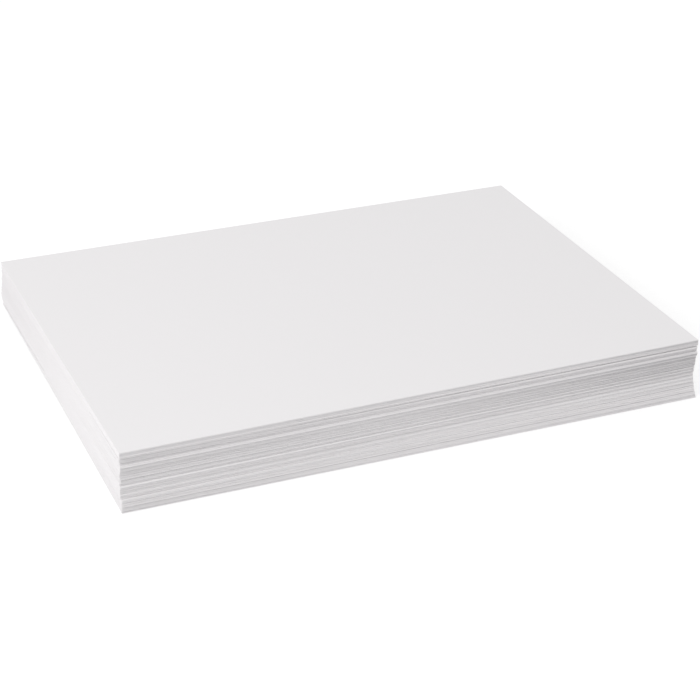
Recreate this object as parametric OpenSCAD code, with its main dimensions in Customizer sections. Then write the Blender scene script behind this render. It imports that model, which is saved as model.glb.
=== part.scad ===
// Ream of drawing paper: loose large sheets in one unwrapped stack.
// The sheets have slipped in runs, so the sides show ledges, recesses and a slow twist.
// Millimetres, +Z up. Origin: middle of the ream's outline, on the surface it stands on.
// +X runs along the long side and -Y is the front long side.

/* [Sheet] */
// Long side of a sheet
sheet_l = 420; // [297:1:594]
// Short side of a sheet
sheet_w = 297; // [210:1:420]
// Thickness of one sheet
sheet_t = 0.174; // [0.1:0.002:0.3]

/* [Stacking] */
// How far the runs of sheets have slipped: 1 is as found, 0 is knocked up square
run_slip = 1; // [0:0.1:1.5]
// How far a single sheet stands out of its run
sheet_slip = 0.34; // [0:0.02:0.5]

/* [Hidden] */
// Colour of the paper
PAPER = [0.93, 0.92, 0.925];

// The runs from the top down. Each has the number of sheets that lie nearly flush, then how far they
// stand out of the slow drift at the left end and at the right end of the front edge, and how far they
// have gone right.
RUNS = [
    // upper quarter: a flush block, a recess under it and the first deep ledge
    [18,  0.0,   0.0,   0.0],
    [ 8,  0.2,   0.1,   0.0],
    [ 5, -0.7,  -1.3,   0.1],
    [ 8, -0.7,   0.0,   0.1],
    [ 6, -0.6,  -0.85,  0.1],
    [ 8, -0.75, -1.3,   0.15],
    [ 4,  0.55,  0.3,   0.0],
    [ 5,  1.0,   0.6,  -0.05],
    // below the first ledge
    [ 6,  0.45,  0.1,   0.05],
    [ 4,  0.65,  0.1,  -0.05],
    [ 6,  0.1,  -0.6,   0.0],
    [ 3,  0.0,  -0.4,   0.05],
    [ 5, -0.4,  -0.75,  0.05],
    [ 6, -0.6,  -0.35,  0.05],
    [ 4, -0.65, -0.1,   0.05],
    [ 4, -0.3,   0.05,  0.0],
    [ 5, -0.15, -0.95,  0.0],
    [ 4,  0.2,  -0.1,   0.0],
    [ 4, -0.45,  0.2,   0.0],
    [ 7, -0.1,  -0.75,  0.0],
    [ 6, -0.25,  0.4,   0.0],
    [ 7, -0.6,  -0.5,   0.05],
    // the second ledge, half way down
    [ 4,  0.75,  0.3,  -0.05],
    [ 6,  0.5,   0.05,  0.0],
    [ 5,  0.1,  -0.55,  0.0],
    [ 4,  0.0,   0.05,  0.0],
    [ 4,  0.3,   0.45,  0.0],
    [ 8, -0.05, -0.25,  0.05],
    [ 5,  0.0,   0.1,   0.0],
    [ 6,  0.5,   0.3,   0.0],
    [ 4,  0.25,  0.0,   0.0],
    [ 5, -0.2,   0.2,   0.0],
    [ 5, -0.5,   0.05,  0.05],
    // the third ledge and the plainer foot
    [ 4,  0.9,  -0.8,  -0.05],
    [ 6,  1.1,  -0.1,   0.0],
    [ 8,  0.3,   0.25,  0.0],
    [ 6,  0.35, -0.2,   0.0],
    [ 4,  0.0,   0.2,   0.0],
    [ 7,  0.2,   0.0,   0.0],
    [ 5, -0.15, -0.5,   0.05],
    [ 4,  0.0,  -0.1,   0.0],
    [ 8,  0.1,   0.25,  0.0],
    [ 5, -0.1,   0.0,   0.0],
    [ 4,  0.0,   0.0,   0.0]
];

// The slow drift of the stack: the number of sheets lying above, then how far the front edge stands out
// at its left end or its right end, or how far the sheet has gone right
DRIFT_LEFT = [
    [0, -2.4], [53, -2.4], [70, -2.0], [110, -1.65], [174, -1.6], [197, -1.05], [221, -1.35], [249, -1.4]
];
DRIFT_RIGHT = [
    [0, -2.4], [53, -2.2], [70, -1.9], [105, -2.2], [151, -3.1], [197, -1.6], [221, -0.2], [249, 2.9]
];
DRIFT_X = [
    [0, -0.8], [53, -0.7], [70, -1.1], [105, -1.3], [151, -2.1], [186, -1.6], [209, -0.9], [249, 0.7]
];

// Single sheets swing about their run by this angle from one to the next, so that no two lie the same.
// The swing starts elsewhere at the right end, and elsewhere again for the slip along the sheets, so
// that they also turn.
SWING = 137.5;
START_LEFT = 0;
START_RIGHT = 50;
START_ALONG = 165;
// Sheets that were lifted and put down together
HANDFUL = 3;
// The short ends were knocked against something flat, so single sheets have slipped less that way
ENDS_SLIP = 0.25;

// The run of each sheet, from the top down, and the number of sheets above each run
RUN_OF = [for (run = RUNS) for (i = [1 : run[0]]) run];
ABOVE = [for (k = 0, n = 0; k < len(RUNS); n = n + RUNS[k][0], k = k + 1) n];
SHEETS = len(RUN_OF);

// The levels between the sheets, from the foot up. Each adds one sheet to the last, so that neighbours
// share a face.
LEVELS = [for (i = 0, z = 0; i <= SHEETS; z = z + sheet_t, i = i + 1) z];

// Half of a sheet's own slip is its own, and half is shared with its handful
function sway(n, start) = sheet_slip * (sin(n * SWING + start) + sin(floor(n / HANDFUL) * SWING + start)) / 2;

// How far the sheet under n others stands out at each end of its front edge, and how far it has gone right
function out_left(n) = run_slip * (lookup(n, DRIFT_LEFT) + RUN_OF[n][1]) + sway(n, START_LEFT);
function out_right(n) = run_slip * (lookup(n, DRIFT_RIGHT) + RUN_OF[n][2]) + sway(n, START_RIGHT);
function gone_right(n) = run_slip * (lookup(n, DRIFT_X) + RUN_OF[n][3]) + sway(n, START_ALONG) * ENDS_SLIP;

function run_name(k) = str("run_", k < 9 ? "0" : "", k + 1);

// One sheet with n sheets above it, slipped and turned in its own plane
module sheet(n) {
    turn = atan((out_left(n) - out_right(n)) / sheet_l);
    translate([gone_right(n), -(out_left(n) + out_right(n)) / 2, LEVELS[SHEETS - 1 - n]])
        rotate([0, 0, turn])
            translate([-sheet_l / 2, -sheet_w / 2, 0])
                cube([sheet_l, sheet_w, sheet_t]);
}

// The sheet that is seen whole, on top of the stack
module top_sheet() {
    color(PAPER) sheet(0);
}

// A run of sheets, without the top and bottom sheets of the ream
module sheet_run(k) {
    first = max(ABOVE[k], 1);
    last = min(ABOVE[k] + RUNS[k][0], SHEETS - 1) - 1;
    color(PAPER) {
        union() {
            for (n = [first : last]) sheet(n);
        }
    }
}

// The sheet that the ream stands on
module bottom_sheet() {
    color(PAPER) sheet(SHEETS - 1);
}

top_sheet();
for (k = [0 : len(RUNS) - 1]) {
    sheet_run(k);
}
bottom_sheet();
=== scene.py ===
# Ream of drawing paper: a low stack of large white sheets, loose and unwrapped, slipped in runs.
import math
import random

import bmesh
import bpy
from mathutils import Matrix, Vector


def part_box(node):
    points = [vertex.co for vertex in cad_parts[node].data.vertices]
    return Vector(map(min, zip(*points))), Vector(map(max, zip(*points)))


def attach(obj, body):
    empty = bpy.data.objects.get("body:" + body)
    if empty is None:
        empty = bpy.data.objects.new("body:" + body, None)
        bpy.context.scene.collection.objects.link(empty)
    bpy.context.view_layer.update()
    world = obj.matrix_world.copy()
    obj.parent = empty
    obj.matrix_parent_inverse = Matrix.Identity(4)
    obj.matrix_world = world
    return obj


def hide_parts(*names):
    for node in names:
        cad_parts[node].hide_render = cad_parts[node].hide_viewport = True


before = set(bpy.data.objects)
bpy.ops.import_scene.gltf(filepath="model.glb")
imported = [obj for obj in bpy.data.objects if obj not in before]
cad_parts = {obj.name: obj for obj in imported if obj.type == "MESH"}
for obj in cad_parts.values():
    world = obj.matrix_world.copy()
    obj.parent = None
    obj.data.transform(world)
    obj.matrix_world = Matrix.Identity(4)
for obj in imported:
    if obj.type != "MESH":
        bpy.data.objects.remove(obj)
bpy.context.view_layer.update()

scene = bpy.context.scene
scene.view_settings.view_transform = "Standard"
print("frame loaded:", len(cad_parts), "nodes")


# Shader maths

# a Wire is a socket that can be added, subtracted and multiplied, and a Shading is its tree
class Wire:
    def __init__(self, shading, socket):
        self.shading = shading
        self.socket = socket

    def maths(self, operation, first, second):
        return self.shading.node("ShaderNodeMath", {"operation": operation}, {0: first, 1: second})

    def __add__(self, other):
        return self.maths("ADD", self, other)

    def __radd__(self, other):
        return self.maths("ADD", other, self)

    def __sub__(self, other):
        return self.maths("SUBTRACT", self, other)

    def __rsub__(self, other):
        return self.maths("SUBTRACT", other, self)

    def __mul__(self, other):
        return self.maths("MULTIPLY", self, other)

    def also(self, output):
        return Wire(self.shading, self.socket.node.outputs[output])


class Shading:
    def __init__(self, tree):
        self.tree = tree
        tree.nodes.clear()

    def node(self, kind, settings=None, values=None, output=0):
        made = self.tree.nodes.new(kind)
        for name, value in (settings or {}).items():
            setattr(made, name, value)
        for name, value in (values or {}).items():
            if isinstance(value, Wire):
                self.tree.links.new(value.socket, made.inputs[name])
            else:
                made.inputs[name].default_value = value
        return Wire(self, made.outputs[output] if len(made.outputs) else None)


# Paper material

# sizes are in metres, and a tone of 0 is dark and 1 is light
paperLook = {
    "light": (0.888, 0.872, 0.879, 1.0),     # the cleanest paper
    "dark": (0.789, 0.775, 0.783, 1.0),      # the dullest cut edges
    "plainTone": 0.5,
    "cloudSize": 0.022,      # clouds of pulp
    "cloudDepth": 0.05,
    "streakSize": 0.11,      # how far a cut edge keeps one tone
    "streakDepth": 0.5,
    "nickSize": 0.004,       # small marks that the blade left along a cut edge
    "nickDepth": 0.15,
    "patternShift": 9.0,     # how far from the others each sheet reads its streaks and nicks
    "patternScale": 40.0,
    "sheetDepth": 0.5,       # tone of the cut edge from sheet to sheet
    "shadeTrendDepth": 0.8,       # painted shade: the long edges are darker towards the top of the stack and lighter towards the bottom
    "shadeTrendEven": 0.4,        # and plain at this depth, where 0 is the top and 1 the bottom
    "rightShadeFrom": 0.08,     # and painted shade towards the right end, where the long edges are recessed
    "rightShadeTo": 0.21,
    "rightShadeDepth": 0.75,
    "rightShadeTop": 1.2,       # this much of it at the top, and 1 less at the bottom
    "endShow": 0.35,         # how much of the marks shows at the short ends, knocked up square
    "endLightTrend": 0.3,         # and there painted light on the upper sheets and painted shade on the lower ones
    "endLightEven": 0.5,
    "toothSize": 0.00055,    # grain of the drawing surface
    "toothHeight": 0.000018,
    "toothShare": 0.7,
    "fibreSize": 0.0022,
    "fibreSquash": (1.0, 0.35, 1.0),
    "fibreShare": 0.3,
    "roughness": 0.88,
    "roughnessDepth": 0.12,
    "specular": 0.25,
}


def paperMaterial(look):
    material = bpy.data.materials.new("drawingPaper")
    material.use_nodes = True
    shading = Shading(material.node_tree)
    place = shading.node("ShaderNodeTexCoord", output="Object")

    def attribute(name):
        return shading.node("ShaderNodeAttribute", {"attribute_name": name}, output="Fac")

    # along a cut edge each sheet has marks of its own: its tone moves the place that is read
    sheetTone = attribute("sheetTone")
    parts = shading.node("ShaderNodeSeparateXYZ", {}, {"Vector": place})
    ownPlace = shading.node("ShaderNodeCombineXYZ", {},
                            {0: parts, 1: parts.also(1), 2: sheetTone * look["patternShift"]})

    def noise(at, scale, detail):
        scaled = shading.node("ShaderNodeMapping", {"vector_type": "POINT"},
                              {"Vector": at, "Scale": scale})
        return shading.node("ShaderNodeTexNoise", {},
                            {"Vector": scaled, "Scale": 1.0, "Detail": detail})

    def grain(size, detail, squash=(1.0, 1.0, 1.0)):
        return noise(place, tuple(part / size for part in squash), detail)

    def streak(size):
        return noise(ownPlace, (1.0 / size, 1.0 / size, look["patternScale"]), detail=1.0) - 0.5

    clouds = grain(look["cloudSize"], detail=3.0)
    fibres = grain(look["fibreSize"], detail=2.0, squash=look["fibreSquash"])
    tooth = grain(look["toothSize"], detail=2.0)
    marks = (streak(look["streakSize"]) * look["streakDepth"]
             + streak(look["nickSize"]) * look["nickDepth"]
             + (sheetTone - 0.5) * look["sheetDepth"])
    # painted shade: the long edges darken towards the right end, more on the upper sheets
    rightEndShade = shading.node("ShaderNodeMapRange", {"interpolation_type": "SMOOTHSTEP"}, {
        "Value": parts, "From Min": look["rightShadeFrom"], "From Max": look["rightShadeTo"],
        "To Min": 0.0, "To Max": look["rightShadeDepth"]})
    # painted shade by depth in the stack: darker long edges towards the top, lighter towards the
    # bottom
    depth = attribute("depth")
    # the attribute read here holds the painted shade and highlight bands of the slipped sheets
    longTone = (marks + attribute("paintedSlipShade") + (depth - look["shadeTrendEven"]) * look["shadeTrendDepth"]
                - rightEndShade * (look["rightShadeTop"] - depth))
    # at the short ends: the marks, with painted light on the upper sheets and painted shade on the
    # lower ones
    endTone = marks * look["endShow"] + (look["endLightEven"] - depth) * look["endLightTrend"]
    tone = (look["plainTone"] + (clouds - 0.5) * look["cloudDepth"]
            + longTone * attribute("longSide") + endTone * attribute("shortEnd"))
    # the mix is not clamped, so the painted shade and highlight can go past the dark and the light
    # colour
    colour = shading.node("ShaderNodeMix", {"data_type": "RGBA", "clamp_factor": False},
                          {0: tone, 6: look["dark"], 7: look["light"]}, 2)
    height = tooth * look["toothShare"] + fibres * look["fibreShare"]
    bump = shading.node("ShaderNodeBump", {},
                        {"Strength": 1.0, "Distance": look["toothHeight"], "Height": height})
    roughness = look["roughness"] + (tooth - 0.5) * look["roughnessDepth"]
    paper = shading.node("ShaderNodeBsdfPrincipled", {}, {
        "Base Color": colour, "Roughness": roughness, "Normal": bump,
        "Specular IOR Level": look["specular"]})
    shading.node("ShaderNodeOutputMaterial", {}, {"Surface": paper})
    return material


# Sheets: one blank is cut with bmesh, then laid where the frame has each sheet of each run

topLow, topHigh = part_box("top_sheet")
sheetPitch = topHigh[2] - topLow[2]     # from one sheet to the next
sheetTotal = round(topHigh[2] / sheetPitch)

blank = {
    "thickness": sheetPitch * 0.92,     # the rest is air between the sheets
    "longCells": 22,
    "shortCells": 16,
}

# thin gaps that open towards the corners, in metres
gapes = {
    "seed": 11,
    "reachLong": 0.17,       # how far a gap runs from its corner along the long edge
    "reachShort": 0.11,
    # at the two near corners: how many sheets lie above each gap, and its width
    "nearLeft": {
        30: 0.00018, 36: 0.00010, 41: 0.00010, 48: 0.00010, 60: 0.00008, 79: 0.00010, 88: 0.00014,
        94: 0.00010, 107: 0.00008, 119: 0.00014, 133: 0.00008, 168: 0.00006, 190: 0.00008,
        238: 0.00010},
    "nearRight": {
        10: 0.00008, 18: 0.00006, 27: 0.00018, 40: 0.00008, 46: 0.00018, 62: 0.00010, 68: 0.00010,
        78: 0.00022, 84: 0.00008, 89: 0.00016, 94: 0.00010, 109: 0.00022, 124: 0.00020,
        139: 0.00020, 148: 0.00006, 156: 0.00016, 171: 0.00012, 188: 0.00006, 204: 0.00020,
        215: 0.00006, 225: 0.00006, 238: 0.00014},
    "far": 0.0014,           # all gaps at one of the far corners
    "share": 0.16,           # part of the sheets there that gape
}

# near left, near right, far right, far left
cornerWays = ((-1, -1), (1, -1), (1, 1), (-1, 1))


def isWall(face):
    return abs(face.normal.z) < 0.5


def sheetCorners(node):
    # the levels of a node's sheets from the floor up, with the four corners of each sheet
    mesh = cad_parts[node].data
    walls = {}
    for face in mesh.polygons:
        if isWall(face):
            level = int(face.center.z / sheetPitch)
            walls.setdefault(level, []).extend(mesh.vertices[i].co for i in face.vertices)
    return {level: [max(spots, key=lambda p: p.x * way[0] + p.y * way[1]) for way in cornerWays]
            for level, spots in walls.items()}


def cutBlank(length, width):
    # a sheet of cells that get smaller towards the edges, where it can lift
    bm = bmesh.new()
    bmesh.ops.create_grid(bm, x_segments=blank["longCells"], y_segments=blank["shortCells"],
                          size=1.0)
    for vertex in bm.verts:
        vertex.co.x = math.sin(vertex.co.x * math.pi / 2) * length / 2
        vertex.co.y = math.sin(vertex.co.y * math.pi / 2) * width / 2
    upper = bmesh.ops.extrude_face_region(bm, geom=bm.faces[:])["geom"]
    raised = [part for part in upper if isinstance(part, bmesh.types.BMVert)]
    bmesh.ops.translate(bm, vec=(0.0, 0.0, blank["thickness"]), verts=raised)
    bmesh.ops.recalc_face_normals(bm, faces=bm.faces)
    mesh = bpy.data.meshes.new("blankSheet")
    bm.to_mesh(mesh)
    bm.free()
    return mesh


def cornerPulls(mesh, length, width):
    # how much of each corner's lift every vertex of the blank takes
    pulls = []
    for vertex in mesh.vertices:
        pull = []
        for cornerX, cornerY in cornerWays:
            along = (cornerX * length / 2 - vertex.co.x) / gapes["reachLong"]
            across = (cornerY * width / 2 - vertex.co.y) / gapes["reachShort"]
            pull.append(math.exp(-along * along - across * across))
        pulls.append(pull)
    return pulls


def cornerLifts():
    # how high every sheet lifts at each corner, from the gaps below it
    draw = random.Random(gapes["seed"])
    lifts = []
    for corner in range(4):
        widths = [0.0] * sheetTotal
        if corner < 2:
            for above, gap in gapes[("nearLeft", "nearRight")[corner]].items():
                widths[above] = gap
        else:
            for above in range(1, sheetTotal):
                if draw.random() < gapes["share"]:
                    widths[above] = draw.random()
            scale = gapes["far"] / sum(widths)
            widths = [gap * scale for gap in widths]
        whole = sum(widths)
        lift = []
        for above in range(sheetTotal):
            below = sum(widths[above + 1:])
            # the sheets press together by as much, so that the top and the bottom stay in place
            lift.append(below - whole * (sheetTotal - 1 - above) / (sheetTotal - 1))
        lifts.append(lift)
    return lifts


# painted shade and highlight that are added to the long cut edges, standing in for the light and
# shade of small slips between sheets; sheets are counted from the top down
paintedSlipShade = {
    # thin lines of painted shade, for the shade in gaps and under overhanging sheets: the middle
    # sheet of each line
    "shadeLines": (8, 63, 80, 95, 110, 124, 140, 157, 173, 195, 226, 240),
    "reach": 4.0,            # sheets to each side of it
    "left": 1.0,             # how dark they are painted at the left and at the right end
    "right": 2.4,
    "even": 0.42,            # and the sheets between them get painted light by this share
    "top": 1.2,              # how much of both shows at the top, and how much less at the bottom
    "fade": 0.6,
    # stretches of painted shade over recessed runs and painted highlight over jutting ones: from
    # and to which sheet, at the left end, at the right
    "stretches": ((12, 26, 0.0, -0.5), (28, 50, -1.1, 0.0), (31, 39, 0.0, 0.9),
                  (43, 53, 0.0, -0.9), (57, 115, 0.0, -0.9), (86, 112, -0.6, 0.0),
                  (230, 250, -0.3, -1.0)),
}


def paintedSlipTone(above, side):
    # side runs from -1 at the left end to 1 at the right end
    lineShade = sum(math.exp(-((above - middle) / paintedSlipShade["reach"]) ** 2) for middle in paintedSlipShade["shadeLines"])
    strength = paintedSlipShade["left"] + (paintedSlipShade["right"] - paintedSlipShade["left"]) * (side + 1.0) / 2
    tone = (paintedSlipShade["even"] - lineShade) * strength * (paintedSlipShade["top"] - paintedSlipShade["fade"] * above / sheetTotal)
    for first, last, left, right in paintedSlipShade["stretches"]:
        if first <= above < last:
            tone += left * max(-side, 0.0) + right * max(side, 0.0)
    return tone


def layRun(node, blankMesh, pulls, lifts, material):
    bm = bmesh.new()
    tone = bm.verts.layers.float.new("sheetTone")
    paintedSlipLayer = bm.verts.layers.float.new("paintedSlipShade")
    depth = bm.verts.layers.float.new("depth")
    longSide = bm.faces.layers.float.new("longSide")
    shortEnd = bm.faces.layers.float.new("shortEnd")
    draw = random.Random(node)
    for level, corners in sorted(sheetCorners(node).items()):
        firstVertex = len(bm.verts)
        firstFace = len(bm.faces)
        bm.from_mesh(blankMesh)
        bm.verts.ensure_lookup_table()
        bm.faces.ensure_lookup_table()
        fresh = bm.verts[firstVertex:]
        for face in bm.faces[firstFace:]:
            if isWall(face):
                face[longSide if abs(face.normal.y) > abs(face.normal.x) else shortEnd] = 1.0
        centre = sum(corners, Vector()) / 4
        edge = corners[1] - corners[0]
        air = (sheetPitch - blank["thickness"]) * level / (sheetTotal - 1)
        underside = level * sheetPitch + air
        turn = Matrix.Rotation(math.atan2(edge.y, edge.x), 4, "Z")
        place = Matrix.Translation((centre.x, centre.y, underside)) @ turn
        bmesh.ops.transform(bm, matrix=place, verts=fresh)
        above = sheetTotal - 1 - level
        lift = [corner[above] for corner in lifts]
        shade = draw.random()
        for vertex, pull in zip(fresh, pulls):
            vertex.co.z += sum(a * b for a, b in zip(pull, lift))
            vertex[tone] = shade
            # painted shade and highlight bands for this sheet's place in the stack
            vertex[paintedSlipLayer] = paintedSlipTone(above, vertex.co.x / sheetLength * 2)
            vertex[depth] = above / (sheetTotal - 1)
    mesh = bpy.data.meshes.new("paper_" + node)
    bm.to_mesh(mesh)
    bm.free()
    mesh.materials.append(material)
    piece = bpy.data.objects.new("paper_" + node, mesh)
    scene.collection.objects.link(piece)
    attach(piece, "root")
    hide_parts(node)
    return piece


paper = paperMaterial(paperLook)
topCorners = sheetCorners("top_sheet")[sheetTotal - 1]
sheetLength = (topCorners[1] - topCorners[0]).length
sheetWidth = (topCorners[3] - topCorners[0]).length
blankMesh = cutBlank(sheetLength, sheetWidth)
pulls = cornerPulls(blankMesh, sheetLength, sheetWidth)
lifts = cornerLifts()
triangles = 0
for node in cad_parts:
    piece = layRun(node, blankMesh, pulls, lifts, paper)
    triangles += sum(len(face.vertices) - 2 for face in piece.data.polygons)
bpy.data.meshes.remove(blankMesh)
print("sheets laid:", sheetTotal, "of", round(sheetLength * 1000, 1), "by",
      round(sheetWidth * 1000, 1), "mm,", triangles, "triangles")


# Floor, lamp and surroundings

studio = {
    "floorSize": 4.0,            # metres from the middle to each side
    "floorColour": (0.88, 0.88, 0.88, 1.0),
    "floorSeen": (0.60, 0.60, 0.60, 1.0),
    "floorGlow": 0.50,           # only for the camera, so that the open floor is white
    "ambient": 0.812,            # light from all round, while the camera itself sees white
    "keySize": 0.8,
    "keyPower": 18.9,
    "keyPlace": (-1.98, -0.70, 1.3),
    "keyAim": (0.0, 0.0, 0.02),
}
white = (1.0, 1.0, 1.0, 1.0)


def floorMaterial():
    material = bpy.data.materials.new("paleFloor")
    material.use_nodes = True
    shading = Shading(material.node_tree)
    seen = shading.node("ShaderNodeLightPath", output="Is Camera Ray")
    plain = shading.node("ShaderNodeBsdfDiffuse", {}, {"Color": studio["floorColour"]})
    dim = shading.node("ShaderNodeBsdfDiffuse", {}, {"Color": studio["floorSeen"]})
    glow = shading.node("ShaderNodeEmission", {}, {"Color": white, "Strength": studio["floorGlow"]})
    shown = shading.node("ShaderNodeAddShader", {}, {0: dim, 1: glow})
    floor = shading.node("ShaderNodeMixShader", {}, {0: seen, 1: plain, 2: shown})
    shading.node("ShaderNodeOutputMaterial", {}, {"Surface": floor})
    return material


def layFloor():
    bm = bmesh.new()
    bmesh.ops.create_grid(bm, x_segments=1, y_segments=1, size=studio["floorSize"])
    mesh = bpy.data.meshes.new("floor")
    bm.to_mesh(mesh)
    bm.free()
    mesh.materials.append(floorMaterial())
    floor = bpy.data.objects.new("floor", mesh)
    scene.collection.objects.link(floor)


def lightRoom():
    world = bpy.data.worlds.new("room")
    scene.world = world
    world.use_nodes = True
    shading = Shading(world.node_tree)
    straight = shading.node("ShaderNodeLightPath", output="Is Camera Ray")
    glossy = shading.node("ShaderNodeLightPath", output="Is Glossy Ray")
    seen = shading.node("ShaderNodeMath", {"operation": "MAXIMUM"}, {0: straight, 1: glossy})
    strength = studio["ambient"] + seen * (1.0 - studio["ambient"])
    sky = shading.node("ShaderNodeBackground", {}, {"Color": white, "Strength": strength})
    shading.node("ShaderNodeOutputWorld", {}, {"Surface": sky})

    lamp = bpy.data.lights.new("softKey", "AREA")
    lamp.shape = "SQUARE"
    lamp.size = studio["keySize"]
    lamp.energy = studio["keyPower"]
    key = bpy.data.objects.new("softKey", lamp)
    key.location = studio["keyPlace"]
    aim = Vector(studio["keyAim"]) - Vector(studio["keyPlace"])
    key.rotation_euler = aim.to_track_quat("-Z", "Y").to_euler()
    scene.collection.objects.link(key)


layFloor()
lightRoom()
print("floor and lamp placed")


# Camera, fitted to the edges of the top sheet and the bottom edges of the stack

cameraView = {
    "azimuth": -24.08,       # degrees, 0 looks along +Y
    "elevation": 27.79,
    "roll": 1.36,
    "foot": (-0.0008, 0.0022, 0.0),      # on the floor, under the middle of the stack
    "distance": 1.3474,      # metres from there
    "right": 0.0094,
    "up": 0.00235,
    "lens": 94.6,            # millimetres
    "sensor": 36.0,
    "clip": (0.05, 50.0),
}


def placeCamera():
    azimuth = math.radians(cameraView["azimuth"])
    elevation = math.radians(cameraView["elevation"])
    back = Vector((math.sin(azimuth) * math.cos(elevation),
                   -math.cos(azimuth) * math.cos(elevation), math.sin(elevation)))
    right = Vector((math.cos(azimuth), math.sin(azimuth), 0.0))
    up = back.cross(right)
    place = Vector(cameraView["foot"]) + back * cameraView["distance"]
    place += right * cameraView["right"] + up * cameraView["up"]
    turn = Matrix((right, up, back)).transposed().to_4x4()
    turn = turn @ Matrix.Rotation(math.radians(cameraView["roll"]), 4, "Z")
    lens = bpy.data.cameras.new("camera")
    lens.lens = cameraView["lens"]
    lens.sensor_width = cameraView["sensor"]
    lens.clip_start, lens.clip_end = cameraView["clip"]
    camera = bpy.data.objects.new("camera", lens)
    camera.matrix_world = Matrix.Translation(place) @ turn
    scene.collection.objects.link(camera)
    scene.camera = camera


placeCamera()
print("camera placed")
